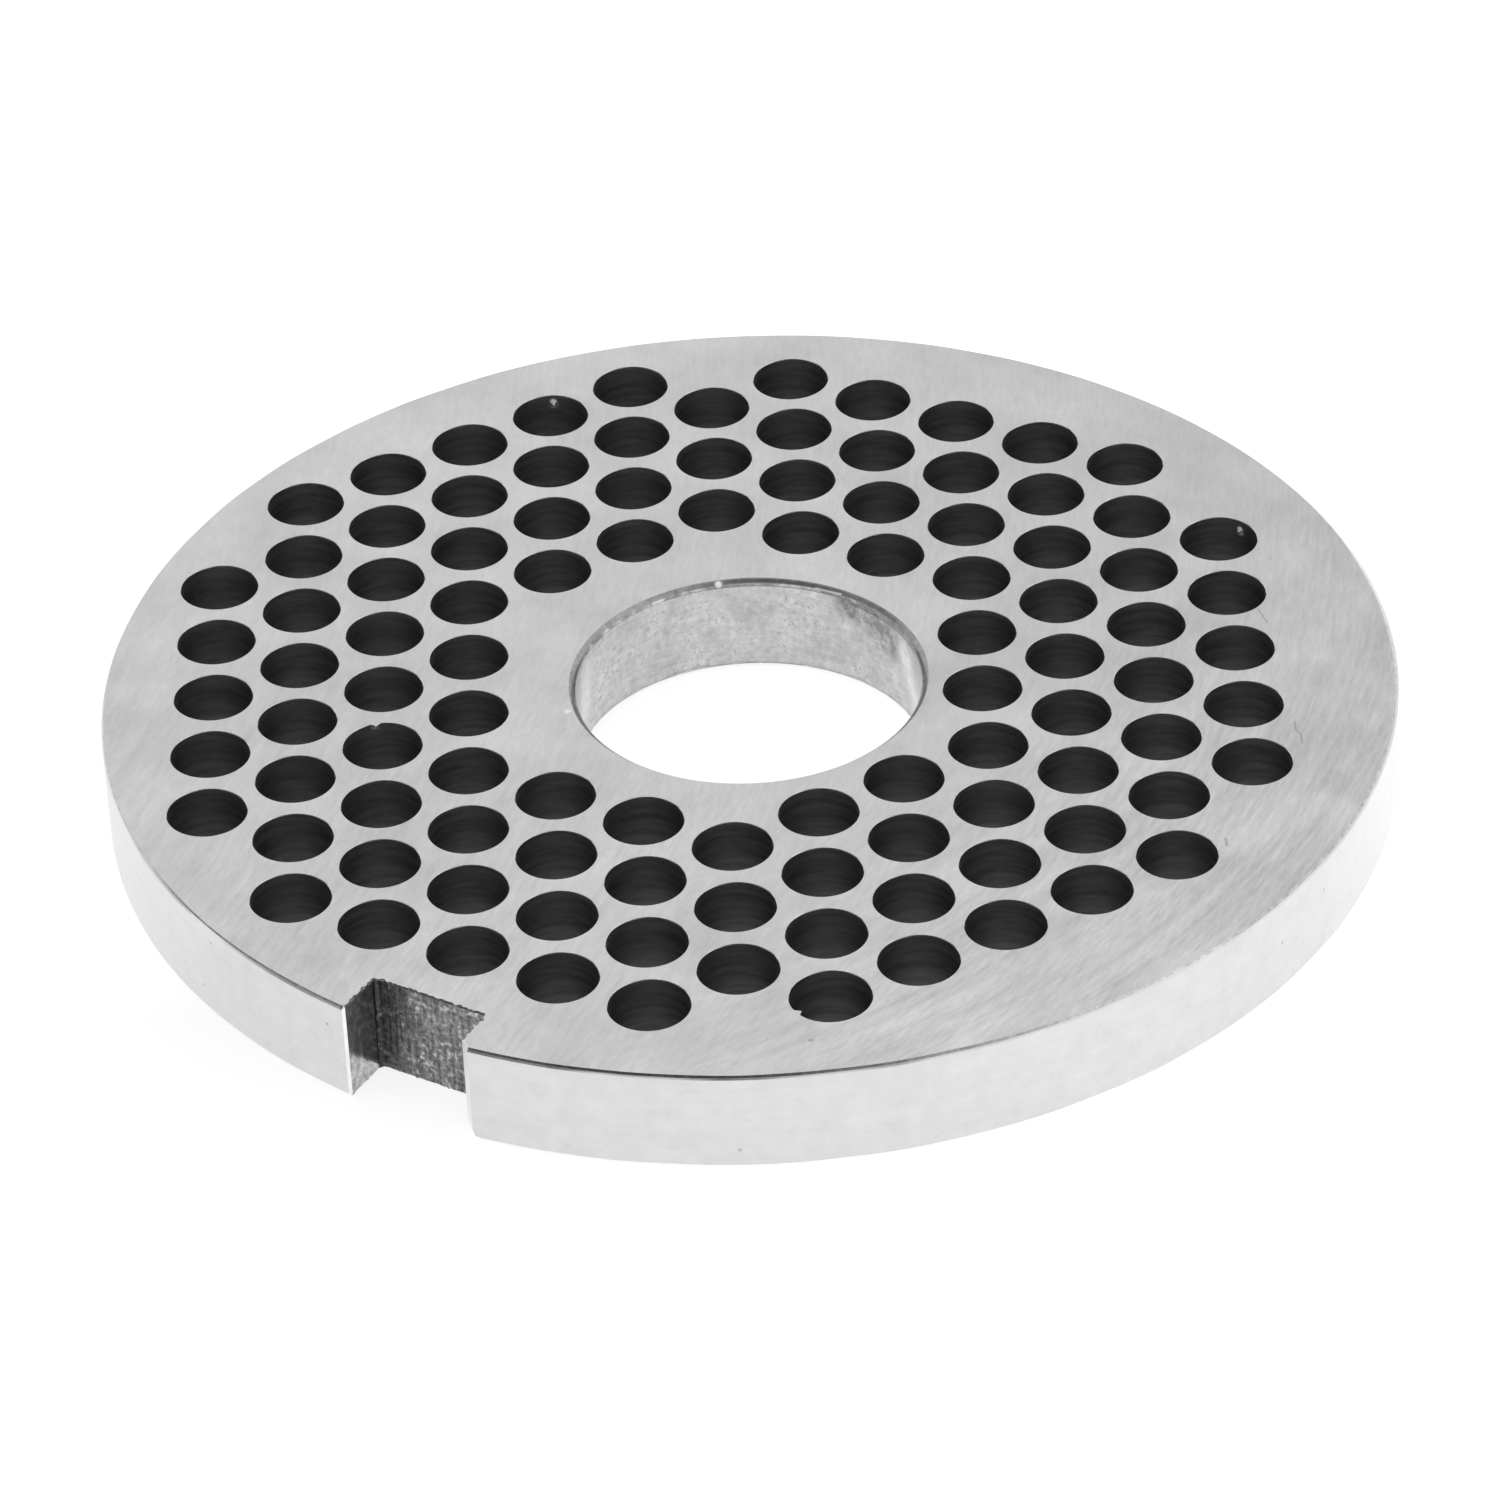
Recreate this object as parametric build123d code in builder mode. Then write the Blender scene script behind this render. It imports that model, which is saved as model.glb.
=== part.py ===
from build123d import *
import os
from math import ceil, sqrt

# Perforated plate of a meat grinder: one flat steel disc, turned, bored, drilled and
# slotted in a single piece.  Millimetres.  The origin is on the bore axis in the back
# face, +Z points out of the cutting face, and the key slot opens towards -Y.

# ---- driving dimensions ------------------------------------------------------------

# disc
outer_diameter = 82.0
plate_thickness = 6.7
rim_chamfer = 0.2

# bore for the worm's spigot
bore_diameter = 22.0
bore_chamfer = 0.4

# drilled hole field
hole_diameter = 5.0
hole_bridge = 1.236         # metal left between two neighbouring holes
hub_land = 1.0              # metal kept between the bore and the field
rim_land = 2.5              # metal kept between the field and the rim
field_offset_x = -1.7       # the drilling template sits a little off the bore axis
field_offset_y = -0.15
field_turn = 2.3            # degrees from the rows of holes to the X axis

# key slot in the rim, which stops the plate from turning in the grinder's barrel
slot_width = 7.85
slot_depth = 3.6
slot_root_left = 0.3        # radius left in the root by the cutter
slot_root_right = 0.2
slot_mouth_left = 0.25      # edge break where the slot meets the rim
slot_mouth_right = 0.8

# ---- derived sizes -----------------------------------------------------------------

outer_radius = outer_diameter / 2
bore_radius = bore_diameter / 2
hole_radius = hole_diameter / 2

hole_pitch = hole_diameter + hole_bridge
row_pitch = hole_pitch * sqrt(3) / 2
field_inner_radius = bore_radius + hub_land + hole_radius
field_outer_radius = outer_radius - rim_land - hole_radius

slot_floor = outer_radius - slot_depth


def drilled_positions():
    """Hole centres on a triangular lattice, kept clear of the bore and of the rim."""
    rows = ceil(field_outer_radius / row_pitch)
    columns = ceil(field_outer_radius / hole_pitch) + rows
    lattice = [
        Vector((column + row / 2) * hole_pitch, row * row_pitch)
        for row in range(-rows, rows + 1)
        for column in range(-columns, columns + 1)
    ]
    return [p for p in lattice if field_inner_radius < p.length < field_outer_radius]


# ---- grinder plate -----------------------------------------------------------------

with BuildPart() as grinder_plate:
    # turned ring with the key slot cut through its rim
    with BuildSketch() as outline:
        Circle(outer_radius)
        Circle(bore_radius, mode=Mode.SUBTRACT)
        with Locations((0, -slot_floor)):
            Rectangle(slot_width, outer_radius, align=(Align.CENTER, Align.MAX), mode=Mode.SUBTRACT)
        mouth = outline.vertices().sort_by(Axis.Y)[:2].sort_by(Axis.X)
        root = outline.vertices().sort_by(Axis.Y)[2:4].sort_by(Axis.X)
        fillet(root[0], radius=slot_root_left)
        fillet(root[1], radius=slot_root_right)
        chamfer(mouth[0], length=slot_mouth_left)
        chamfer(mouth[1], length=slot_mouth_right)
    extrude(amount=plate_thickness)

    # edge breaks on both faces, round the rim and round the bore
    circles = grinder_plate.edges().filter_by(GeomType.CIRCLE)
    chamfer(circles.filter_by(lambda edge: edge.radius > field_outer_radius), length=rim_chamfer)
    circles = grinder_plate.edges().filter_by(GeomType.CIRCLE)
    on_bore = circles.filter_by(lambda edge: abs(edge.radius - bore_radius) < bore_chamfer)
    chamfer(on_bore, length=bore_chamfer)

    # drilled field, left sharp at both faces because its edges do the cutting
    field = Location((field_offset_x, field_offset_y, plate_thickness), (0, 0, field_turn))
    with Locations(field):
        with Locations(*drilled_positions()):
            Hole(hole_radius, depth=plate_thickness)

grinder_plate.part.label = "grinder_plate"

# ---- export ------------------------------------------------------------------------

os.makedirs("parts", exist_ok=True)
export_step(grinder_plate.part, "parts/grinder_plate.step")

print("holes", len(drilled_positions()), "volume mm3", round(grinder_plate.part.volume, 1))
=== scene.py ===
from math import acos, atan2, cos, exp, hypot, pi, radians, sin, sqrt

import bpy
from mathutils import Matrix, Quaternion, Vector, noise
from mathutils.geometry import delaunay_2d_cdt


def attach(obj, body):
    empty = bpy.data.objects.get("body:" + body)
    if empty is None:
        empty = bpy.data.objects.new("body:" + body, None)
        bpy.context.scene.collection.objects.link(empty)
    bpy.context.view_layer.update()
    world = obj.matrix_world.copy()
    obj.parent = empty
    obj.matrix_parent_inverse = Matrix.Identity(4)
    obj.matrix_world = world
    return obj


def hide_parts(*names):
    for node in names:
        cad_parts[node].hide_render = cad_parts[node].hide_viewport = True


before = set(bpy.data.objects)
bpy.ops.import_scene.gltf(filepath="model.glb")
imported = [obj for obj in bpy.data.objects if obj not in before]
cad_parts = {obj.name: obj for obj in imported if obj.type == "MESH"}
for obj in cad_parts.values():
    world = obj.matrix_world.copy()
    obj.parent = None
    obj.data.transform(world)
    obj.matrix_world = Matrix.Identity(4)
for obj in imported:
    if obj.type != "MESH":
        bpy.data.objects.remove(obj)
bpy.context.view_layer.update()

# Perforated plate of a meat grinder: one ground steel disc with a bore, a drilled hole
# field and a key slot.  Lengths are millimetres where nothing else is said, and the mesh
# is made in metres.
MM = 0.001

# ---- dimensions, the same as in the plate's CAD source ------------------------------

OUTER_RADIUS = 41.0
THICKNESS = 6.7
RIM_CHAMFER = 0.20
BORE_RADIUS = 11.0
BORE_CHAMFER = 0.4
HOLE_RADIUS = 2.5
HOLE_PITCH = 6.236
FIELD_INNER_RADIUS = 14.5
FIELD_OUTER_RADIUS = 36.0
FIELD_OFFSET = (-1.7, -0.15)
FIELD_TURN = 2.3            # degrees
SLOT_WIDTH = 7.85
SLOT_FLOOR = 37.4           # distance of the slot's floor from the axis
SLOT_ROOT_LEFT = 0.3
SLOT_ROOT_RIGHT = 0.2
SLOT_MOUTH_RIGHT = 0.8

# ---- finer detail that only the looks need ------------------------------------------

VISIBLE_RADIUS = 40.985     # keeps the round rim inside the faceted CAD one
SLOT_MOUTH_LEFT = 0.16      # narrower than in the CAD source
SLOT_BREAK = 0.10           # edge break round the slot
HOLE_BREAK = 0.04           # edge break at each drilled hole
CHAMFER_LEAN = 0.35         # share by which the rim's off-centre chamfer widens and narrows
CHAMFER_WIDEST = 0          # where it is widest, in degrees
CHAMFER_WAVER = 0.3         # share by which its width wavers besides
CHAMFER_WAVES = 9           # frequency of that
BORE_LEDGE = [(0.20, 0.13), (0.27, 0.10)]   # depth below the face, and reach outside the bore

# nicks in the slot's edge break
NICK_STRENGTH = 1.8
NICK_FREQUENCY = 3.1
NICK_LEAST = 0.2            # share of the break that is there everywhere

# the mouth's lower right corner is rounded back
CORNER_HEIGHT = 0.9
CORNER_SHARE = 0.8          # share of a full quarter round
CORNER_INTO_SLOT = 1.6
CORNER_ALONG_RIM = 2.7

# marks of the slot's cutter: frequency across them, frequency along z, seed and depth
STRIATIONS = [(2.1, 0.16, 0.0, 0.022), (6.3, 0.3, 7.0, 0.024), (9.0, 4.0, 3.0, 0.012)]
SIDE_STRIATION = 0.3        # share of them that the slot's side walls have

# small burrs left on the walls of four holes: x, y, z and how far they stand out
BURRS = [
    (-28.66, 22.64, 6.10, 0.30),
    (19.29, 30.19, 5.95, 0.30),
    (-18.37, -15.16, 6.65, 0.24),
    (20.20, -28.56, 6.60, 0.36),
]
BURR_WIDTH = 0.19
BURR_REACH = 3 * BURR_WIDTH     # nothing of a burr is left at this distance

# ---- how finely the mesh is divided -------------------------------------------------

RIM_SEGMENTS = 720
MOUTH_LEFT_SEGMENTS = 5
SIDE_LEFT_SEGMENTS = 28
ROOT_LEFT_SEGMENTS = 12
SLOT_FLOOR_SEGMENTS = 120
ROOT_RIGHT_SEGMENTS = 6
SIDE_RIGHT_SEGMENTS = 26
MOUTH_RIGHT_SEGMENTS = 10
BORE_SEGMENTS = 288
BORE_STEPS = 8              # along the axis, between the chamfers
HOLE_SEGMENTS = 64
BURRED_SEGMENTS = 192       # round a hole with a burr

# heights of the rings between the faces, closer together at the worn corner and the burrs
RIM_RINGS = [0.42, 0.6, 0.8] + [1.1 + i * (THICKNESS - 1.55) / 10 for i in range(11)]
BURRED_RINGS = [THICKNESS - 0.1 * k for k in range(13, 0, -1)]
PLAIN_RINGS = [THICKNESS - 0.3]

SHARP_ANGLE = 32            # degrees; walls that meet at less are shaded as one
SAME_POINT = 1e-7           # corners nearer than this count as one when a face is filled

# material indices on the plate
GROUND, TURNED, BREAK, MOUTH, BORE_EDGE, BORED, SLOT_SIDE, SLOT_BOTTOM, SLOT_EDGE, DRILLED = range(10)


# ---- outlines -----------------------------------------------------------------------
# Each outline is a list of points with the metal on the left of the direction of
# travel, so one rule gives the direction into the metal and the faces of the walls.

def line_points(start, end, count):
    """Points from start towards end, without the last one."""
    steps = [i / count for i in range(count)]
    return [(start[0] + (end[0] - start[0]) * t, start[1] + (end[1] - start[1]) * t) for t in steps]


def arc_points(centre, radius, first, last, count):
    """Points on an arc from angle first to angle last, in degrees, without the last one."""
    angles = [radians(first + (last - first) * i / count) for i in range(count)]
    return [(centre[0] + radius * cos(a), centre[1] + radius * sin(a)) for a in angles]


def disc_outline():
    """The rim and the key slot as one closed path of points.

    With each comes the slot's own direction into the metal there, how much of the rim it
    has (1 on the rim, 0 in the slot, and between them at the mouth), and its finish.
    """
    half = SLOT_WIDTH / 2
    corner_angle = acos(-half / VISIBLE_RADIUS) - pi / 2
    corner_y = -sqrt(VISIBLE_RADIUS ** 2 - half ** 2)
    right = -90 + (corner_angle + SLOT_MOUTH_RIGHT / VISIBLE_RADIUS) * 180 / pi
    left = 270 - (corner_angle + SLOT_MOUTH_LEFT / VISIBLE_RADIUS) * 180 / pi
    rim = arc_points((0, 0), VISIBLE_RADIUS, right, left, RIM_SEGMENTS)
    rim_end = (VISIBLE_RADIUS * cos(radians(left)), VISIBLE_RADIUS * sin(radians(left)))
    left_mouth = (-half, corner_y + SLOT_MOUTH_LEFT)
    right_mouth = (half, corner_y + SLOT_MOUTH_RIGHT)
    left_root = (-half + SLOT_ROOT_LEFT, -SLOT_FLOOR - SLOT_ROOT_LEFT)
    right_root = (half - SLOT_ROOT_RIGHT, -SLOT_FLOOR - SLOT_ROOT_RIGHT)
    floor_left = (left_root[0], -SLOT_FLOOR)
    floor_right = (right_root[0], -SLOT_FLOOR)
    left_wall = line_points(left_mouth, (-half, left_root[1]), SIDE_LEFT_SEGMENTS)
    right_wall = line_points((half, right_root[1]), right_mouth, SIDE_RIGHT_SEGMENTS)
    left_arc = arc_points(left_root, SLOT_ROOT_LEFT, 180, 90, ROOT_LEFT_SEGMENTS)
    right_arc = arc_points(right_root, SLOT_ROOT_RIGHT, 90, 0, ROOT_RIGHT_SEGMENTS)
    to_left = (-1.0, 0.0)
    to_right = (1.0, 0.0)
    up = (0.0, 1.0)
    # points, share of the rim at the start and the end, way into the metal there, finish
    runs = [
        (rim, 1, 1, up, up, TURNED),
        (line_points(rim_end, left_mouth, MOUTH_LEFT_SEGMENTS), 1, 0, to_left, to_left, MOUTH),
        (left_wall, 0, 0, to_left, to_left, SLOT_SIDE),
        (left_arc, 0, 0, to_left, up, SLOT_BOTTOM),
        (line_points(floor_left, floor_right, SLOT_FLOOR_SEGMENTS), 0, 0, up, up, SLOT_BOTTOM),
        (right_arc, 0, 0, up, to_right, SLOT_BOTTOM),
        (right_wall, 0, 0, to_right, to_right, SLOT_SIDE),
        (line_points(right_mouth, rim[0], MOUTH_RIGHT_SEGMENTS), 0, 1, to_right, to_right, MOUTH),
    ]
    outline = []
    for run, first, last, first_way, last_way, finish in runs:
        for i, point in enumerate(run):
            t = i / len(run)
            turn = radians(90) * t
            if first_way == last_way:
                way = first_way
            else:
                way = tuple(a * cos(turn) + b * sin(turn) for a, b in zip(first_way, last_way))
            outline.append((point, way, first + (last - first) * t, finish))
    return outline


def round_outline(centre, radius, segments):
    """A clockwise circle, which is how a hole runs with its metal on the left."""
    return arc_points(centre, radius, 360, 0, segments)


def drilled_positions():
    """Hole centres on the turned and shifted triangular lattice."""
    row_pitch = HOLE_PITCH * sqrt(3) / 2
    turn = radians(FIELD_TURN)
    most = int(FIELD_OUTER_RADIUS / HOLE_PITCH) + 3     # rows each way, more than the field has
    centres = []
    for row in range(-most, most + 1):
        for column in range(-2 * most, 2 * most + 1):
            x = (column + row / 2) * HOLE_PITCH
            y = row * row_pitch
            if FIELD_INNER_RADIUS < hypot(x, y) < FIELD_OUTER_RADIUS:
                centre_x = FIELD_OFFSET[0] + x * cos(turn) - y * sin(turn)
                centre_y = FIELD_OFFSET[1] + x * sin(turn) + y * cos(turn)
                centres.append((centre_x, centre_y))
    return centres


# ---- the plate's mesh ---------------------------------------------------------------

class Plate:
    """Collects the vertices and faces of the plate, ring by ring."""

    def __init__(self):
        self.vertices = []
        self.faces = []
        self.materials = []
        self.bottom = []        # closed rings of vertex numbers in the back face
        self.top = []           # the same in the cutting face

    def ring(self, points, z):
        """Adds one closed ring, z a number or one number per point, and returns its numbers."""
        first = len(self.vertices)
        heights = z if isinstance(z, list) else [z] * len(points)
        self.vertices += [(p[0], p[1], h) for p, h in zip(points, heights)]
        return list(range(first, len(self.vertices)))

    def wall(self, lower, upper, material):
        """Joins two rings with quads; material is an index or a list with one per point."""
        count = len(lower)
        for i in range(count):
            j = (i + 1) % count
            self.faces.append((lower[i], lower[j], upper[j], upper[i]))
            self.materials.append(material[i] if isinstance(material, list) else material)

    def tube(self, rings, materials):
        """Joins rings from the back face to the cutting face, with one material per wall."""
        for lower, upper, material in zip(rings, rings[1:], materials):
            self.wall(lower, upper, material)
        self.bottom.append(rings[0])
        self.top.append(rings[-1])

    def cap(self, rings, upward):
        """Fills the flat face between the outer ring and the rings of the openings."""
        numbers = [n for ring in rings for n in ring]
        flat = [Vector(self.vertices[n][:2]) for n in numbers]
        loops = []
        first = 0
        for ring in rings:
            loop = list(range(first, first + len(ring)))
            if loops:
                loop.reverse()      # openings run clockwise, and the fill wants them the other way
            loops.append(loop)
            first += len(ring)
        # 1 asks for the triangles inside the loops, each with the loops that it lies in
        corners, _, triangles, origins, _, sources = delaunay_2d_cdt(flat, [], loops, 1, SAME_POINT)
        back = [numbers[origin[0]] for origin in origins]
        for triangle, source in zip(triangles, sources):
            if list(source) != [0]:
                continue
            a, b, c = [corners[n] for n in triangle]
            counter_clockwise = (b - a).cross(c - a) > 0
            face = [back[n] for n in triangle]
            if counter_clockwise != upward:
                face.reverse()
            self.faces.append(tuple(face))
            self.materials.append(GROUND)


def wave(x, y, z):
    """Smooth noise at a point, between about -1 and 1."""
    return noise.noise(Vector((x, y, z)))


def striation(x, y, z):
    """Depth of the cutter's marks at a point of the slot."""
    across = x + y
    return sum(depth * wave(across * fast, seed, z * slow) for fast, slow, seed, depth in STRIATIONS)


def worn_corner(x, y, z):
    """How far the mouth's lower right corner is rounded back."""
    if x < SLOT_WIDTH / 2:
        return 0.0
    above = min(1.0, z / CORNER_HEIGHT)
    depth = CORNER_HEIGHT * (1 - sqrt(above * (2 - above)))
    from_end = SLOT_MOUTH_RIGHT + CORNER_INTO_SLOT - (y + VISIBLE_RADIUS)
    along_slot = max(0.0, min(1.0, from_end / CORNER_INTO_SLOT))
    along_rim = max(0.0, 1 - (x - SLOT_WIDTH / 2) / CORNER_ALONG_RIM)
    return CORNER_SHARE * depth * along_slot * along_rim ** 2


def chamfer_width(x, y, seed):
    """Width of the rim's chamfer beside a point, as a share of its mean width."""
    reach = hypot(x, y)
    lean = CHAMFER_LEAN * cos(atan2(y, x) - radians(CHAMFER_WIDEST))
    return 1 + lean + CHAMFER_WAVER * wave(x / reach * CHAMFER_WAVES, y / reach * CHAMFER_WAVES, seed)


def add_disc(plate):
    """The rim and the slot, from the back face to the cutting face."""
    outline = disc_outline()
    levels = [0, SLOT_BREAK, RIM_CHAMFER] + RIM_RINGS
    levels += [THICKNESS - RIM_CHAMFER, THICKNESS - SLOT_BREAK, THICKNESS]
    rings = []
    for z in levels:
        from_face = min(z, THICKNESS - z)
        upper = z > THICKNESS / 2
        seed = 5 if upper else 0
        # the edge where the upper chamfer meets the rim stays level, and that of the lower one doesn't
        in_chamfer = z <= RIM_CHAMFER or z > THICKNESS - RIM_CHAMFER
        placed = []
        heights = []
        for (x, y), way, rim, finish in outline:
            width = chamfer_width(x, y, seed)
            chamfer = rim * max(0, RIM_CHAMFER - from_face) * width / hypot(x, y)
            inward = from_face * (1 + rim * (width - 1))
            follows = THICKNESS - inward if upper else inward
            heights.append(follows if in_chamfer else z)
            nick = wave(x * NICK_FREQUENCY, y * NICK_FREQUENCY, seed)
            nicks = max(NICK_LEAST, 1 + NICK_STRENGTH * nick)
            marks = striation(x, y, z) * (1 if finish == SLOT_BOTTOM else SIDE_STRIATION)
            edge = (1 - rim) * (max(0, SLOT_BREAK - from_face) * nicks + marks)
            placed_x = x - x * chamfer + way[0] * edge + worn_corner(x, y, z)
            placed_y = y - y * chamfer + way[1] * edge
            placed.append((placed_x, placed_y))
        rings.append(plate.ring(placed, heights))
    plain = [finish for _, _, _, finish in outline]
    chamfered = [BREAK if finish == TURNED else finish for finish in plain]
    cut = [SLOT_EDGE if finish in (SLOT_SIDE, SLOT_BOTTOM) else finish for finish in chamfered]
    finishes = []
    for low, high in zip(levels, levels[1:]):
        if high <= SLOT_BREAK or low >= THICKNESS - SLOT_BREAK:
            finishes.append(cut)
        elif high <= RIM_CHAMFER:
            finishes.append(chamfered)
        else:
            finishes.append(plain)      # also on the lower half of the upper chamfer
    plate.tube(rings, finishes)


def add_bore(plate):
    """The bore with its chamfers, each with a narrow ledge in it."""
    straight = THICKNESS - 2 * BORE_CHAMFER
    chamfer = [(0, BORE_CHAMFER), *BORE_LEDGE, (BORE_CHAMFER, 0)]
    levels = list(chamfer)
    levels += [(BORE_CHAMFER + straight * i / BORE_STEPS, 0) for i in range(1, BORE_STEPS)]
    levels += [(THICKNESS - z, grow) for z, grow in reversed(chamfer)]
    rings = []
    for z, grow in levels:
        rings.append(plate.ring(round_outline((0, 0), BORE_RADIUS + grow, BORE_SEGMENTS), z))
    edge = [BORE_EDGE] * (len(chamfer) - 1)
    plate.tube(rings, edge + [BORED] * BORE_STEPS + edge)


def add_hole(plate, centre):
    """One drilled hole with a slight edge break, and a burr where BURRS has one."""
    reach = HOLE_RADIUS + BURR_REACH
    burrs = [burr for burr in BURRS if hypot(burr[0] - centre[0], burr[1] - centre[1]) < reach]
    segments = BURRED_SEGMENTS if burrs else HOLE_SEGMENTS
    levels = [(0, HOLE_BREAK), (HOLE_BREAK, 0), (THICKNESS / 2, 0)]
    levels += [(z, 0) for z in (BURRED_RINGS if burrs else PLAIN_RINGS)]
    levels += [(THICKNESS - HOLE_BREAK, 0), (THICKNESS, HOLE_BREAK)]
    rings = []
    for z, grow in levels:
        points = round_outline(centre, HOLE_RADIUS + grow, segments)
        points = [pushed_in(point, z, centre, burrs) for point in points]
        rings.append(plate.ring(points, z))
    plate.tube(rings, [BREAK] + [DRILLED] * (len(rings) - 3) + [BREAK])


def pushed_in(point, z, centre, burrs):
    """A point of a hole's wall, moved towards the hole's axis by the burrs near it."""
    x, y = point
    for burr_x, burr_y, burr_z, size in burrs:
        distance = hypot(point[0] - burr_x, point[1] - burr_y, z - burr_z)
        share = size * exp(-(distance / BURR_WIDTH) ** 2) / HOLE_RADIUS
        x += (centre[0] - point[0]) * share
        y += (centre[1] - point[1]) * share
    return x, y


def make_plate(materials):
    """The whole plate as one closed mesh."""
    plate = Plate()
    add_disc(plate)
    add_bore(plate)
    for centre in drilled_positions():
        add_hole(plate, centre)
    plate.cap(plate.bottom, upward=False)
    plate.cap(plate.top, upward=True)
    mesh = bpy.data.meshes.new("steel_plate")
    mesh.from_pydata([(x * MM, y * MM, z * MM) for x, y, z in plate.vertices], [], plate.faces)
    for material in materials:
        mesh.materials.append(material)
    mesh.polygons.foreach_set("material_index", plate.materials)
    mesh.shade_smooth()
    mesh.set_sharp_from_angle(angle=radians(SHARP_ANGLE))
    mesh.validate()
    # the two ground faces are flat up to their very edges
    smooth = [face.material_index != GROUND for face in mesh.polygons]
    mesh.polygons.foreach_set("use_smooth", smooth)
    piece = bpy.data.objects.new("steel_plate", mesh)
    bpy.context.scene.collection.objects.link(piece)
    return piece


# ---- node helpers -------------------------------------------------------------------

class Tree:
    """Short calls for building a node tree."""

    def __init__(self, owner):
        owner.use_nodes = True
        self.tree = owner.node_tree
        self.tree.nodes.clear()

    def add(self, kind, inputs=None, **settings):
        node = self.tree.nodes.new(kind)
        for name, value in settings.items():
            setattr(node, name, value)
        for name, value in (inputs or {}).items():
            self.feed(node.inputs[name], value)
        return node

    def feed(self, socket, value):
        """Links an output to the socket, or sets its constant."""
        if isinstance(value, bpy.types.NodeSocket):
            self.tree.links.new(value, socket)
        else:
            socket.default_value = value

    def math(self, operation, a, b=0.0):
        return self.add("ShaderNodeMath", {0: a, 1: b}, operation=operation).outputs[0]

    def times(self, a, b):
        return self.math("MULTIPLY", a, b)

    def minus(self, a, b):
        return self.math("SUBTRACT", a, b)

    def apart(self, a, b):
        """The distance between two numbers."""
        return self.math("ABSOLUTE", self.minus(a, b))

    def total(self, *terms):
        """Sum of the terms; a pair is a socket times a number."""
        result = 0.0
        for term in terms:
            value = self.times(*term) if isinstance(term, tuple) else term
            result = self.math("ADD", result, value)
        return result

    def strongest(self, masks):
        """The greatest of several masks."""
        result = masks[0]
        for mask in masks[1:]:
            result = self.math("MAXIMUM", result, mask)
        return result

    def vector(self, operation, a, b=(0, 0, 0)):
        node = self.add("ShaderNodeVectorMath", {0: a, 1: b}, operation=operation)
        return node.outputs["Value" if operation in ("LENGTH", "DOT_PRODUCT") else "Vector"]

    def split(self, vector):
        """The outputs X, Y and Z of a vector."""
        return self.add("ShaderNodeSeparateXYZ", {"Vector": vector}).outputs

    def join(self, x, y, z=0.0):
        return self.add("ShaderNodeCombineXYZ", {"X": x, "Y": y, "Z": z}).outputs["Vector"]

    def mix(self, factor, a, b):
        return self.add("ShaderNodeMix", {"Factor": factor, "A": a, "B": b}).outputs["Result"]

    def noise(self, vector, scale, detail, roughness):
        inputs = {"Vector": vector, "Scale": scale, "Detail": detail, "Roughness": roughness}
        return self.add("ShaderNodeTexNoise", inputs).outputs["Fac"]

    def drawn_noise(self, position, scales, detail, roughness):
        """Noise with a scale of its own along each axis, long where that is small."""
        return self.noise(self.vector("MULTIPLY", position, scales), 1.0, detail, roughness)

    def span(self, value, low, high, to_low, to_high, smooth=False):
        """Maps low..high to to_low..to_high, held at the ends."""
        inputs = {"Value": value, "From Min": low, "From Max": high}
        inputs.update({"To Min": to_low, "To Max": to_high})
        kind = "SMOOTHSTEP" if smooth else "LINEAR"
        return self.add("ShaderNodeMapRange", inputs, interpolation_type=kind).outputs["Result"]

    def spread(self, noise_value, to_low, to_high):
        """Maps a noise, which mostly stays within 0.3..0.7, to to_low..to_high."""
        return self.span(noise_value, 0.3, 0.7, to_low, to_high)


def place(tree):
    """Position on the plate in millimetres."""
    position = tree.add("ShaderNodeTexCoord").outputs["Object"]
    return tree.vector("MULTIPLY", position, (1000, 1000, 1000))


POINT_CORE = 0.3                # share of a spot's radius inside which it is full
LINE_CORE = 0.1                 # share of a line's width within which it is full


def near_point(tree, position, point, radius):
    """1 at the point, fading to 0 at the radius."""
    distance = tree.vector("LENGTH", tree.vector("SUBTRACT", position, point))
    return tree.span(distance, POINT_CORE * radius, radius, 1.0, 0.0, smooth=True)


def near_line(tree, position, start, end, width):
    """1 on the stretch from start to end, fading to 0 at half the width from it."""
    along = Vector(end) - Vector(start)
    from_start = tree.vector("SUBTRACT", position, start)
    travel = tree.vector("DOT_PRODUCT", from_start, tuple(along / along.length ** 2))
    travel = tree.math("MINIMUM", tree.math("MAXIMUM", travel, 0.0), 1.0)
    nearest = tree.vector("MULTIPLY", tree.join(travel, travel, travel), tuple(along))
    distance = tree.vector("LENGTH", tree.vector("SUBTRACT", from_start, nearest))
    return tree.span(distance, LINE_CORE * width, 0.5 * width, 1.0, 0.0, smooth=True)


def darkened(tree, colour, mask, share):
    """The colour with up to that share taken away where the mask is 1."""
    return tree.times(colour, tree.minus(1.0, tree.times(mask, share)))


def new_material(name):
    """An empty material, the tree that it is drawn with, and the position on the plate."""
    material = bpy.data.materials.new(name)
    tree = Tree(material)
    return material, tree, place(tree)


def finish_steel(tree, colour, roughness, height=None, depth=0.0):
    """Bare steel; colour, roughness and height are sockets or numbers, depth is in millimetres."""
    shader = tree.add("ShaderNodeBsdfPrincipled", {"Roughness": roughness, "Metallic": 1.0})
    tree.feed(shader.inputs["Base Color"], colour)
    if height is not None:
        bump = tree.add("ShaderNodeBump", {"Height": height, "Distance": depth * MM, "Strength": 1.0})
        tree.feed(shader.inputs["Normal"], bump.outputs["Normal"])
    output = tree.add("ShaderNodeOutputMaterial")
    tree.feed(output.inputs["Surface"], shader.outputs["BSDF"])


# ---- materials ----------------------------------------------------------------------
# Colours are one grey number from 0 to 1.  A mark is a point, or the start and the end of
# a line and its width.

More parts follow.
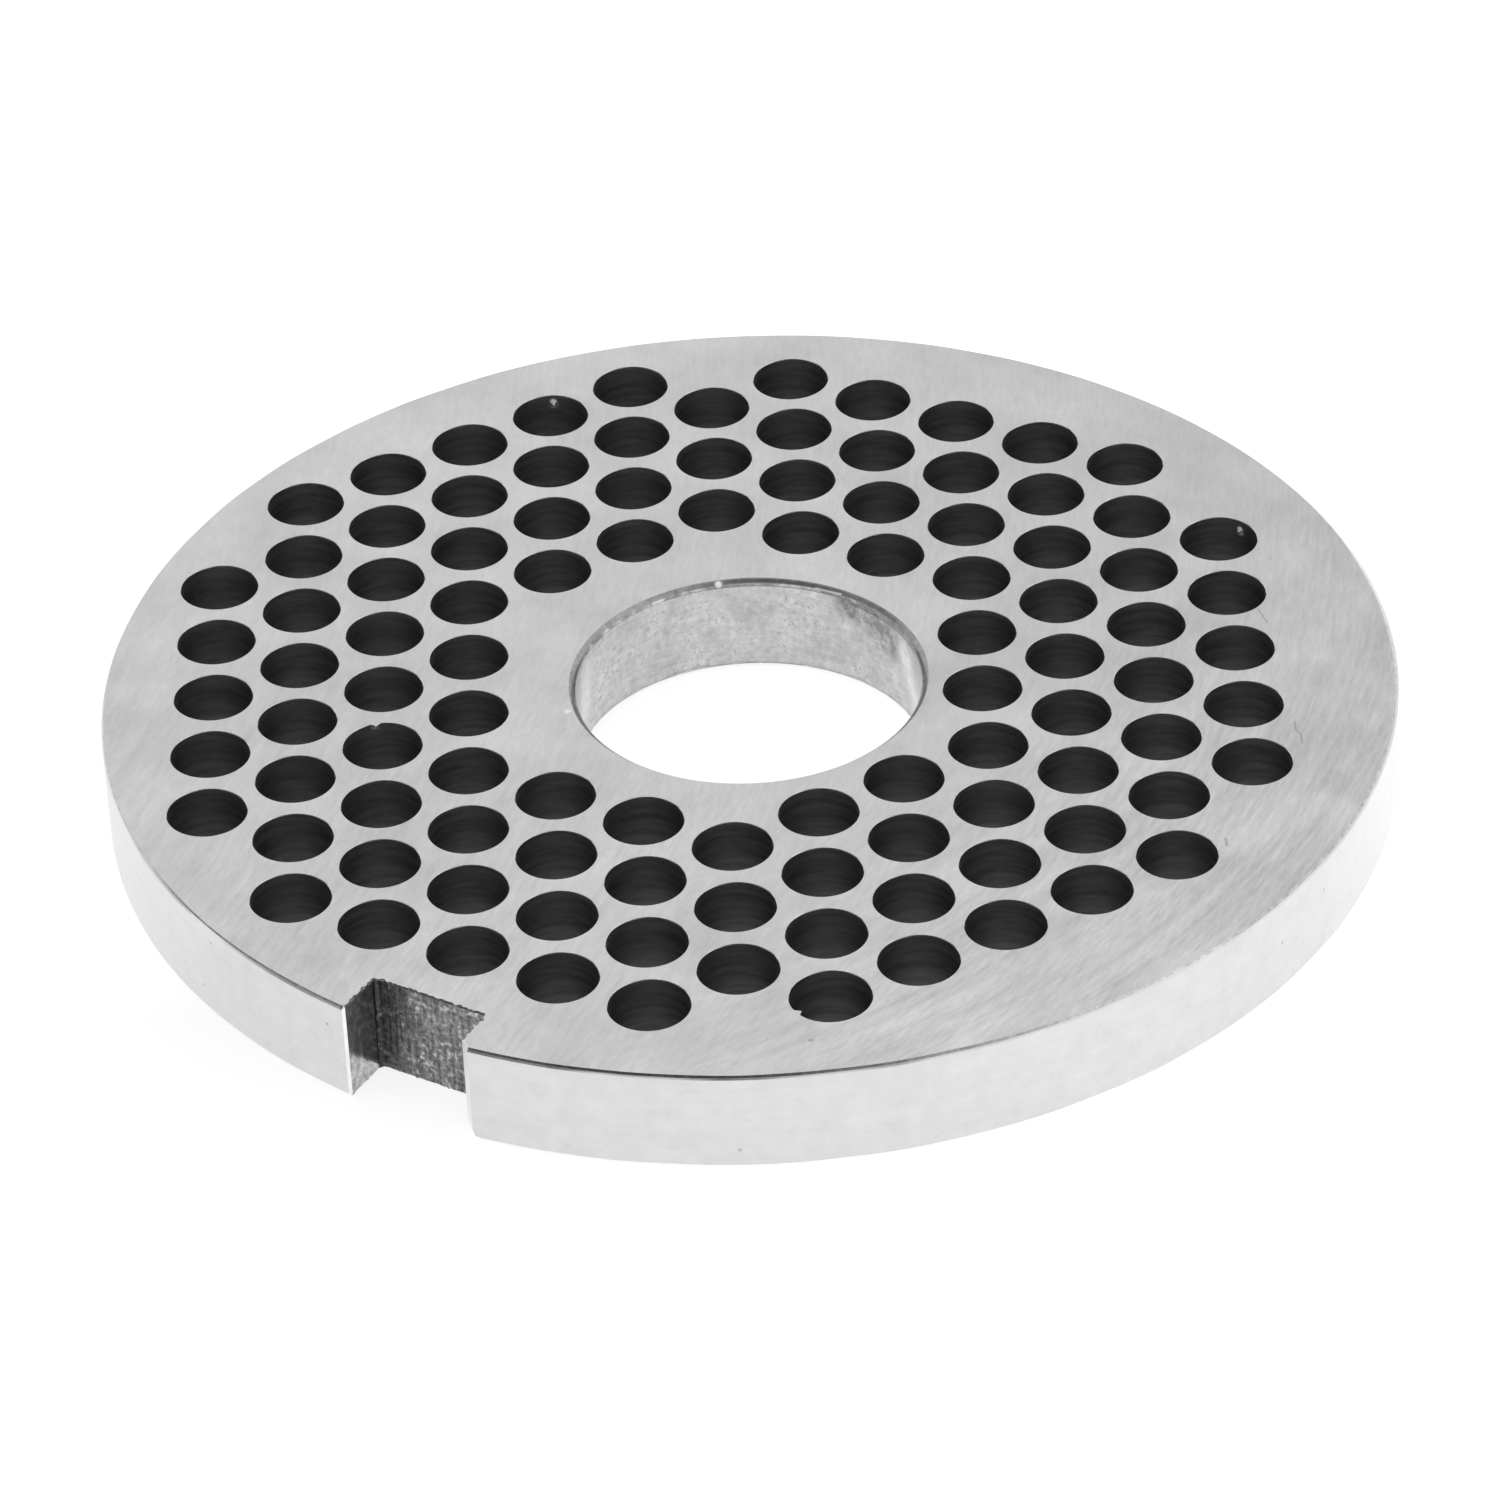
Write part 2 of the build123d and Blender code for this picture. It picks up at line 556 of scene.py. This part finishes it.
# the grinding marks are arcs about these points, one for each pass
FIRST_PASS = (-185.0, -62.0, 0.0)
SECOND_PASS = (-85.0, -20.0, 0.0)
WORN_ARCS = (-30.0, 0.0, 0.0)
ARC_EXTRA_RADIUS = 20           # lengths along the arcs are true this far beyond the plate's axis

# marks of use on the cutting face
LIGHT_PATCH = ((35.6, -1.5, 6.7), (38.2, 4.8, 6.7), 3.6)
DARK_STREAK = ((39.4, 1.6, 6.7), (37.9, -11.5, 6.7), 2.4)
SCRATCHES = [
    ((25.0, 21.7, 6.7), (26.2, 20.6, 6.7), 0.16),
    ((32.7, 11.7, 6.7), (33.2, 10.9, 6.7), 0.16),
    ((33.2, 10.9, 6.7), (33.6, 10.7, 6.7), 0.14),
    ((33.6, 10.7, 6.7), (34.2, 9.8, 6.7), 0.16),
    ((34.6, -1.3, 6.7), (35.0, -1.9, 6.7), 0.30),
]
LIGHT_SPOT = (-8.3, -8.4, 6.7)
LIGHT_SPOT_RADIUS = 0.35
RIM_EDGE_SPOT = (-4.13, -40.69, 6.62)   # shows on the face and on the rim
RIM_EDGE_SPOT_RADIUS = 0.2
DARK_SPOTS = [(22.3, -30.5, 6.7), RIM_EDGE_SPOT]
DARK_SPOT_RADIUS = 0.22

# pits in the rim: angle in degrees and height
RIM_PITS = [(-7.65, 3.62), (-112.27, 5.58), (-114.22, 1.64), (-0.8, 4.53), (-97.5, 4.9), (-60.4, 1.3)]
RIM_PIT_RADIUS = 0.16

# two painted highlights on the bore's upper chamfer: a bright stretch and a glint
BORE_EDGE_BRIGHT_STRETCH = ((-1.5, 11.0, 6.5), (0.3, 11.15, 6.5), 0.28)
BORE_EDGE_GLINT = (-7.3, 8.5, 6.5)
BORE_EDGE_GLINT_RADIUS = 0.40
BORE_EDGE_LINE = 0.30           # the bright line's distance from the face, a painted highlight along the ledge

# darker and brighter places on the bore's wall
BORE_STAINS = [(1.3, 10.9, 5.9), (2.9, 10.6, 5.6), (4.3, 10.1, 4.9)]
BORE_STAIN_RADIUS = 1.9
BORE_WORN = [((6.1, 9.15, 5.0), (7.3, 8.2, 2.0), 2.6), ((-10.7, -2.5, 5.2), (-10.6, -2.9, 2.6), 3.2)]
BORE_LINE = THICKNESS - 0.54    # height of the dark line of painted shade under the upper chamfer

# radius of the painted highlight at each burr
BURR_SHINE_RADIUS = 0.45


def ground_steel():
    """The two flat faces: grinding arcs, faint clouds and a few marks of use."""
    material, tree, position = new_material("ground_steel")
    side = tree.split(position)

    def lines(centre, stretch, scale, detail, roughness):
        """Noise drawn out along the arcs about that centre."""
        parts = tree.split(tree.vector("SUBTRACT", position, centre))
        radius = tree.vector("LENGTH", tree.join(parts["X"], parts["Y"]))
        turn = tree.math("ARCTAN2", parts["Y"], parts["X"])
        along = tree.times(turn, (hypot(centre[0], centre[1]) + ARC_EXTRA_RADIUS) / stretch)
        return tree.noise(tree.join(radius, along), scale, detail, roughness)

    def left_and_right(left_centre, right_centre, **shape):
        """Arcs about one centre on the left of the face and about another on the right."""
        to_right = tree.span(side["X"], 2.0, 26.0, 0.0, 1.0, smooth=True)
        return tree.mix(to_right, lines(left_centre, **shape), lines(right_centre, **shape))

    fine = left_and_right(FIRST_PASS, SECOND_PASS, stretch=6.0, scale=3.2, detail=3.0, roughness=0.75)
    long = left_and_right(FIRST_PASS, WORN_ARCS, stretch=16.0, scale=1.0, detail=4.0, roughness=0.7)
    clouds = tree.noise(position, scale=0.13, detail=4.0, roughness=0.62)

    # the marks grow stronger to the right and the front, and the long ones also near the slot
    to_front_right = tree.total((side["X"], 1.0), (side["Y"], -0.5))
    grain = tree.span(to_front_right, -30.0, 40.0, 0.15, 0.29)
    streaky_right = tree.span(to_front_right, 8.0, 40.0, 0.12, 0.44)
    streaky_front = tree.span(side["Y"], -28.0, 5.0, 0.26, 0.10)
    streakiness = tree.math("MAXIMUM", streaky_right, streaky_front)
    fine_marks = tree.times(tree.minus(fine, 0.5), grain)
    streaks = tree.times(tree.minus(long, 0.5), streakiness)

    # painted shade: the face darkens slowly to the right and to the back
    twist = tree.times(side["X"], side["Y"])
    lean = tree.total((side["X"], -0.0007), (side["Y"], -0.0004), (twist, -0.000025))

    speck = near_point(tree, position, LIGHT_SPOT, LIGHT_SPOT_RADIUS)
    polished = near_line(tree, position, *LIGHT_PATCH)
    rubbed = near_line(tree, position, *DARK_STREAK)
    colour = tree.total(fine_marks, streaks, (clouds, 0.26), (speck, 0.16), lean, 0.416)
    colour = tree.total(colour, (polished, 0.035), (rubbed, -0.035))
    marks = [near_point(tree, position, point, DARK_SPOT_RADIUS) for point in DARK_SPOTS]
    marks += [near_line(tree, position, *scratch) for scratch in SCRATCHES]
    colour = darkened(tree, colour, tree.strongest(marks), 0.32)
    finish_steel(tree, colour, roughness=tree.spread(long, 0.36, 0.46), height=fine, depth=0.004)
    return material


def turned_steel():
    """The rim: bright turned surface with faint rings, soft clouds and tiny pits."""
    material, tree, position = new_material("turned_steel")
    rings = tree.drawn_noise(position, (0.15, 0.15, 3.0), detail=2.0, roughness=0.5)
    clouds = tree.noise(position, scale=0.75, detail=3.0, roughness=0.6)
    colour = tree.total((rings, 0.06), (clouds, 0.17), 0.605)
    pits = []
    for angle, z in RIM_PITS:
        point = (VISIBLE_RADIUS * cos(radians(angle)), VISIBLE_RADIUS * sin(radians(angle)), z)
        pits.append(near_point(tree, position, point, RIM_PIT_RADIUS))
    pits.append(near_point(tree, position, RIM_EDGE_SPOT, RIM_EDGE_SPOT_RADIUS))
    colour = darkened(tree, colour, tree.strongest(pits), 0.35)
    finish_steel(tree, colour, roughness=tree.spread(clouds, 0.26, 0.34))
    return material


def break_steel():
    """The fine chamfer of the rim and the edges of the drilled holes."""
    material, tree, position = new_material("chamfered_steel")
    beads = tree.noise(position, scale=1.8, detail=3.0, roughness=0.7)
    colour = tree.spread(beads, 0.40, 0.66)
    finish_steel(tree, colour, roughness=tree.spread(beads, 0.12, 0.2))
    return material


def mouth_steel():
    """The two burnished corners of the slot's mouth, the left one the smoother, coloured near white as
    a painted highlight.
    """
    material, tree, position = new_material("burnished_steel_painted_highlight")
    clouds = tree.noise(position, scale=1.2, detail=2.0, roughness=0.5)
    # painted highlight: a near-white colour on the burnished corners
    colour = tree.spread(clouds, 0.90, 1.0)
    finish_steel(tree, colour, roughness=tree.span(tree.split(position)["X"], -1.0, 1.0, 0.28, 0.55))
    return material


def bore_edge_steel():
    """The bore's chamfers: dull, with painted highlights: a bright broken line along the ledge, a
    bright stretch and a glint.
    """
    material, tree, position = new_material("bore_edge_steel")
    height = tree.split(position)["Z"]
    from_face = tree.math("MINIMUM", height, tree.minus(THICKNESS, height))
    # painted highlight: a bright broken line along the ledge
    from_line = tree.apart(from_face, BORE_EDGE_LINE)
    line = tree.span(from_line, 0.03, 0.10, 1.0, 0.0, smooth=True)
    gaps = tree.noise(position, scale=0.5, detail=3.0, roughness=0.7)
    line = tree.times(line, tree.span(gaps, 0.48, 0.62, 0.0, 1.0, smooth=True))
    beads = tree.noise(position, scale=2.0, detail=3.0, roughness=0.75)
    dull = tree.spread(beads, 0.25, 0.43)
    # painted highlights: a bright stretch and a glint
    bright_stretch = tree.times(near_line(tree, position, *BORE_EDGE_BRIGHT_STRETCH), 0.8)
    glint = near_point(tree, position, BORE_EDGE_GLINT, BORE_EDGE_GLINT_RADIUS)
    bright = tree.math("MAXIMUM", glint, bright_stretch)
    colour = tree.math("MAXIMUM", tree.total(dull, (line, 0.30)), bright)
    finish_steel(tree, colour, roughness=tree.span(bright, 0.0, 1.0, 0.3, 0.75))
    return material


def bored_steel():
    """The bore's wall: turned rings, upright streaks, darker stains, grit and a line of painted shade
    under the upper chamfer.
    """
    material, tree, position = new_material("bored_steel")
    side = tree.split(position)
    rings = tree.drawn_noise(position, (0.4, 0.4, 5.0), detail=3.0, roughness=0.6)
    streaks = tree.drawn_noise(position, (2.0, 2.0, 0.6), detail=3.0, roughness=0.7)
    mottle = tree.noise(position, scale=1.9, detail=3.0, roughness=0.7)
    clouds = tree.noise(position, scale=0.5, detail=3.0, roughness=0.6)
    colour = tree.total((rings, 0.20), (streaks, 0.14), (mottle, 0.36), (clouds, 0.34), 0.025)

    specks = tree.noise(position, scale=2.8, detail=3.0, roughness=0.7)
    patches = tree.noise(position, scale=0.5, detail=2.0, roughness=0.5)
    patches = tree.span(patches, 0.42, 0.62, 0.1, 1.0)
    grit = tree.times(tree.span(specks, 0.52, 0.68, 0.0, 1.0), patches)
    colour = darkened(tree, colour, grit, 0.34)

    stains = [near_point(tree, position, point, BORE_STAIN_RADIUS) for point in BORE_STAINS]
    blots = tree.noise(position, scale=1.3, detail=4.0, roughness=0.7)
    blots = tree.span(blots, 0.38, 0.58, 0.25, 1.0)
    colour = darkened(tree, colour, tree.times(tree.strongest(stains), blots), 0.55)

    # painted shade: a dark line under the upper chamfer, on the right side only
    line = tree.span(tree.apart(side["Z"], BORE_LINE), 0.04, 0.15, 1.0, 0.0, smooth=True)
    on_right = tree.span(side["X"], -1.0, 3.0, 0.0, 1.0, smooth=True)
    colour = darkened(tree, colour, tree.times(line, on_right), 0.5)

    lower_edge = tree.span(side["Z"], BORE_CHAMFER + 0.05, BORE_CHAMFER + 0.25, 1.0, 0.0)
    colour = darkened(tree, colour, tree.times(lower_edge, patches), 0.3)

    bright_stretch = tree.strongest([near_line(tree, position, *mark) for mark in BORE_WORN])
    colour = tree.total(colour, (bright_stretch, 0.17))
    finish_steel(tree, colour, roughness=0.28, height=rings, depth=0.012)
    return material


def slot_side_steel():
    """The slot's side walls: smooth enough to mirror the slot's bottom and what it stands on."""
    material, tree, position = new_material("slot_side_steel")
    marks = tree.drawn_noise(position, (2.6, 2.6, 0.8), detail=3.0, roughness=0.7)
    grit = tree.noise(position, scale=2.2, detail=4.0, roughness=0.75)
    grit = tree.span(grit, 0.42, 0.66, 0.0, 0.30)
    colour = tree.total(tree.spread(marks, 0.26, 0.44), grit)
    finish_steel(tree, colour, roughness=0.20, height=marks, depth=0.006)
    return material


def slot_bottom_steel():
    """The slot's bottom: dull, with upright cutter marks and bright grit, and painted shade that makes
    it darker to the left.
    """
    material, tree, position = new_material("slot_bottom_steel")
    marks = tree.drawn_noise(position, (3.5, 3.5, 0.35), detail=4.0, roughness=0.7)
    grit = tree.noise(position, scale=3.2, detail=2.0, roughness=0.6)
    patches = tree.noise(position, scale=0.9, detail=2.0, roughness=0.5)
    patches = tree.span(patches, 0.40, 0.60, 0.35, 1.0)
    light = tree.times(tree.span(grit, 0.52, 0.70, 0.0, 0.46), patches)
    colour = tree.total(tree.spread(marks, 0.08, 0.31), light)
    colour = darkened(tree, colour, tree.span(grit, 0.34, 0.44, 1.0, 0.0), 0.45)
    # painted shade: darker towards the left wall, which the bottom mirrors
    to_right = tree.span(tree.split(position)["X"], -3.9, -0.4, 0.30, 1.0, smooth=True)
    finish_steel(tree, tree.times(colour, to_right), roughness=0.36, height=grit, depth=0.012)
    return material


def slot_edge_steel():
    """The ragged edge that the slot's cutter left, coloured dark."""
    material, tree, position = new_material("slot_edge_steel")
    beads = tree.noise(position, scale=3.0, detail=3.0, roughness=0.7)
    finish_steel(tree, tree.span(beads, 0.3, 0.75, 0.04, 0.26), roughness=0.4)
    return material


def drilled_steel():
    """The walls of the holes: dark, with faint drill rings and a painted highlight at each burr."""
    material, tree, position = new_material("drilled_steel")
    rings = tree.drawn_noise(position, (0.3, 0.3, 3.0), detail=2.0, roughness=0.5)
    clouds = tree.noise(position, scale=1.4, detail=3.0, roughness=0.6)
    # painted highlights where the burrs catch the light
    burrs = [(near_point(tree, position, burr[:3], BURR_SHINE_RADIUS), 0.40) for burr in BURRS]
    colour = tree.total(tree.spread(rings, 0.15, 0.28), (clouds, 0.09), *burrs)
    finish_steel(tree, colour, roughness=0.42, height=rings, depth=0.008)
    return material


# ---- camera -------------------------------------------------------------------------

CAMERA_AIM = (1.544, -2.691, 3.35)
CAMERA_AZIMUTH = 32.133         # degrees from the -Y side towards +X
CAMERA_ELEVATION = 35.304
CAMERA_DISTANCE = 448.69
CAMERA_ROLL = -2.693
CAMERA_LENS = 170.45            # on a 36 mm sensor


def direction(azimuth, elevation):
    """Unit vector towards that side: azimuth 0 is -Y and 90 is +X, in degrees."""
    a = radians(azimuth)
    e = radians(elevation)
    return Vector((sin(a) * cos(e), -cos(a) * cos(e), sin(e)))


def make_camera():
    """The camera of the main view."""
    data = bpy.data.cameras.new("camera")
    data.lens = CAMERA_LENS
    data.clip_start = 0.01
    data.clip_end = 20
    camera = bpy.data.objects.new("camera", data)
    back = direction(CAMERA_AZIMUTH, CAMERA_ELEVATION)
    camera.location = (Vector(CAMERA_AIM) + back * CAMERA_DISTANCE) * MM
    camera.rotation_mode = "QUATERNION"
    level = (-back).to_track_quat("-Z", "Y")
    camera.rotation_quaternion = level @ Quaternion((0, 0, 1), radians(CAMERA_ROLL))
    bpy.context.scene.collection.objects.link(camera)
    bpy.context.scene.camera = camera


# ---- floor and light ----------------------------------------------------------------

WHITE = (1.0, 1.0, 1.0, 1.0)
FLOOR_SIZE = 8.0                # metres
FLOOR_GAP = 0.00002             # metres that the floor lies below the plate
FLOOR_COLOUR = (0.35, 0.35, 0.35, 1.0)
FLOOR_GLOW = (0.77, 0.92)       # what the shadow can't take away, painted light rising from left to right of the plate
FLOOR_GLOW_REACH = 35.0         # half the width over which that changes
FLOOR_GLOW_BEHIND = 0.14        # and the painted light that there is more of beside and behind it
FLOOR_GLOW_UNDER = 0.28         # share of the glow that is left under the drilled part, a painted shadow
UNDER_EDGE = 0.3                # that begins this far beyond the bore's and the slot's walls
UNDER_BORE_FULL = 1.2           # is complete this far beyond the bore's wall
UNDER_RIM_END = 1.0             # and has ended this far inside the rim
BESIDE_START = 0.5              # the floor beside the plate begins this far inside the rim


def seen_ray(tree):
    """1 for camera, glossy and transmission rays, which show the background, and 0 for the rest."""
    path = tree.add("ShaderNodeLightPath").outputs
    seen = tree.math("MAXIMUM", path["Is Camera Ray"], path["Is Glossy Ray"])
    return tree.math("MAXIMUM", seen, path["Is Transmission Ray"])


def painted_shadow_mask(tree, position):
    """1 on the floor where the plate's drilled part stands on it, and 0 elsewhere: where the painted
    shadow lies.
    """
    parts = tree.split(position)
    distance = tree.vector("LENGTH", tree.join(parts["X"], parts["Y"]))
    bore_start = BORE_RADIUS + UNDER_EDGE
    outside_bore = tree.span(distance, bore_start, BORE_RADIUS + UNDER_BORE_FULL, 0.0, 1.0)
    field_end = FIELD_OUTER_RADIUS + HOLE_RADIUS
    inside_rim = tree.span(distance, field_end, OUTER_RADIUS - UNDER_RIM_END, 1.0, 0.0)
    from_middle = tree.math("ABSOLUTE", parts["X"])
    beside_slot = tree.math("GREATER_THAN", from_middle, SLOT_WIDTH / 2 + UNDER_EDGE)
    behind_slot = tree.math("GREATER_THAN", parts["Y"], -SLOT_FLOOR + UNDER_EDGE)
    off_slot = tree.math("MAXIMUM", beside_slot, behind_slot)
    return tree.times(tree.times(outside_bore, inside_rim), off_slot)


def make_floor():
    """A pale floor whose shadow stays soft and light, with painted light in its glow and a painted
    shadow under the plate.
    """
    half = FLOOR_SIZE / 2
    mesh = bpy.data.meshes.new("floor")
    corners = [(-half, -half), (half, -half), (half, half), (-half, half)]
    mesh.from_pydata([(x, y, -FLOOR_GAP) for x, y in corners], [], [(0, 1, 2, 3)])
    floor = bpy.data.objects.new("floor", mesh)
    bpy.context.scene.collection.objects.link(floor)
    material, tree, position = new_material("floor_white")
    matt = tree.add("ShaderNodeBsdfDiffuse", {"Color": FLOOR_COLOUR})
    # painted shadow: the glow is cut down under the plate's drilled part
    painted_shadow_factor = tree.span(painted_shadow_mask(tree, position), 0.0, 1.0, 1.0, FLOOR_GLOW_UNDER)
    rightward = tree.vector("DOT_PRODUCT", position, tuple(direction(CAMERA_AZIMUTH + 90, 0)))
    forward = tree.vector("DOT_PRODUCT", position, tuple(direction(CAMERA_AZIMUTH, 0)))
    from_axis = tree.vector("LENGTH", position)
    outside = tree.math("GREATER_THAN", from_axis, OUTER_RADIUS - BESIDE_START)
    # painted light: the glow grows to the right, and beside and behind the plate
    behind = tree.times(tree.span(forward, 8.0, 24.0, FLOOR_GLOW_BEHIND, 0.0), outside)
    painted_light_sideways = tree.span(rightward, -FLOOR_GLOW_REACH, FLOOR_GLOW_REACH, *FLOOR_GLOW)
    glow_level = tree.times(tree.times(seen_ray(tree), painted_shadow_factor), tree.math("ADD", painted_light_sideways, behind))
    glow = tree.add("ShaderNodeEmission", {"Color": WHITE, "Strength": glow_level})
    both = tree.add("ShaderNodeAddShader", {0: matt.outputs["BSDF"], 1: glow.outputs["Emission"]})
    output = tree.add("ShaderNodeOutputMaterial")
    tree.feed(output.inputs["Surface"], both.outputs["Shader"])
    mesh.materials.append(material)


# the tent's dark gap, as the brightness at each azimuth in degrees from the camera's
DARK_GAP = [
    (-130, 1.0), (-118, 1.0), (-112, 0.62), (-106, 0.18), (-97, 0.33), (-84, 0.34), (-62, 0.16),
    (-40, 0.08), (-5, 0.08), (12, 0.17), (24, 0.32), (35, 0.50), (47, 0.64), (60, 0.76), (82, 1.0),
]
GAP_ELEVATION = 54.7            # degrees, at the camera's azimuth
GAP_FALL = 0.0024               # the gap comes down by this times the azimuth squared
GAP_HEIGHT = 10.0               # degrees from its middle to where it begins to fade
GAP_FADE = 9.0                  # degrees
TENT_LEVEL = 1.0
FILL_LEVEL = 0.7                # what matt surfaces receive


def make_world():
    """A white tent with a dark gap above the camera, for metal to reflect."""
    world = bpy.data.worlds.new("studio")
    bpy.context.scene.world = world
    tree = Tree(world)
    parts = tree.split(tree.add("ShaderNodeTexCoord").outputs["Generated"])
    toward_front = tree.times(parts["Y"], -1.0)
    azimuth = tree.math("DEGREES", tree.math("ARCTAN2", parts["X"], toward_front))
    azimuth = tree.minus(azimuth, CAMERA_AZIMUTH)
    elevation = tree.math("DEGREES", tree.math("ARCSINE", parts["Z"]))
    low = DARK_GAP[0][0]
    high = DARK_GAP[-1][0]
    ramp = tree.add("ShaderNodeValToRGB", {"Fac": tree.span(azimuth, low, high, 0.0, 1.0)})
    stops = ramp.color_ramp.elements
    while len(stops) < len(DARK_GAP):
        stops.new(0.5)
    for stop, (degrees_away, level) in zip(stops, DARK_GAP):
        stop.position = (degrees_away - low) / (high - low)
        stop.color = (level, level, level, 1)
    fall = tree.times(tree.math("POWER", azimuth, 2.0), -GAP_FALL)
    middle = tree.math("ADD", fall, GAP_ELEVATION)
    away = tree.apart(elevation, middle)
    outside = tree.span(away, GAP_HEIGHT, GAP_HEIGHT + GAP_FADE, 0.0, 1.0, smooth=True)
    tent = tree.math("MAXIMUM", ramp.outputs["Color"], outside)
    glossy = tree.add("ShaderNodeLightPath").outputs["Is Glossy Ray"]
    seen = tree.mix(glossy, TENT_LEVEL, tent)
    level = tree.mix(seen_ray(tree), FILL_LEVEL, seen)
    background = tree.add("ShaderNodeBackground", {"Color": WHITE, "Strength": level})
    output = tree.add("ShaderNodeOutputWorld")
    tree.feed(output.inputs["Surface"], background.outputs["Background"])
    world.cycles.sampling_method = "NONE"      # rays meet the wide tent without any aiming


def make_lamp(name, azimuth, elevation, distance, size, power):
    """A soft square lamp that looks at the plate; distance and size in metres."""
    data = bpy.data.lights.new(name, "AREA")
    data.shape = "SQUARE"
    data.size = size
    data.energy = power
    lamp = bpy.data.objects.new(name, data)
    back = direction(azimuth, elevation)
    lamp.location = back * distance
    lamp.rotation_mode = "QUATERNION"
    lamp.rotation_quaternion = (-back).to_track_quat("-Z", "Y")
    bpy.context.scene.collection.objects.link(lamp)


# ---- the scene ----------------------------------------------------------------------

bpy.context.scene.view_settings.view_transform = "Standard"
make_camera()
make_world()
make_floor()
make_lamp("key_lamp", CAMERA_AZIMUTH + 150, elevation=60, distance=1.2, size=0.9, power=0.5)
make_lamp("side_lamp", CAMERA_AZIMUTH + 70, elevation=35, distance=1.2, size=0.7, power=0.4)

# in the order of the material indices
finishes = [
    ground_steel(),
    turned_steel(),
    break_steel(),
    mouth_steel(),
    bore_edge_steel(),
    bored_steel(),
    slot_side_steel(),
    slot_bottom_steel(),
    slot_edge_steel(),
    drilled_steel(),
]
plate_piece = make_plate(finishes)
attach(plate_piece, "root")
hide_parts("grinder_plate")
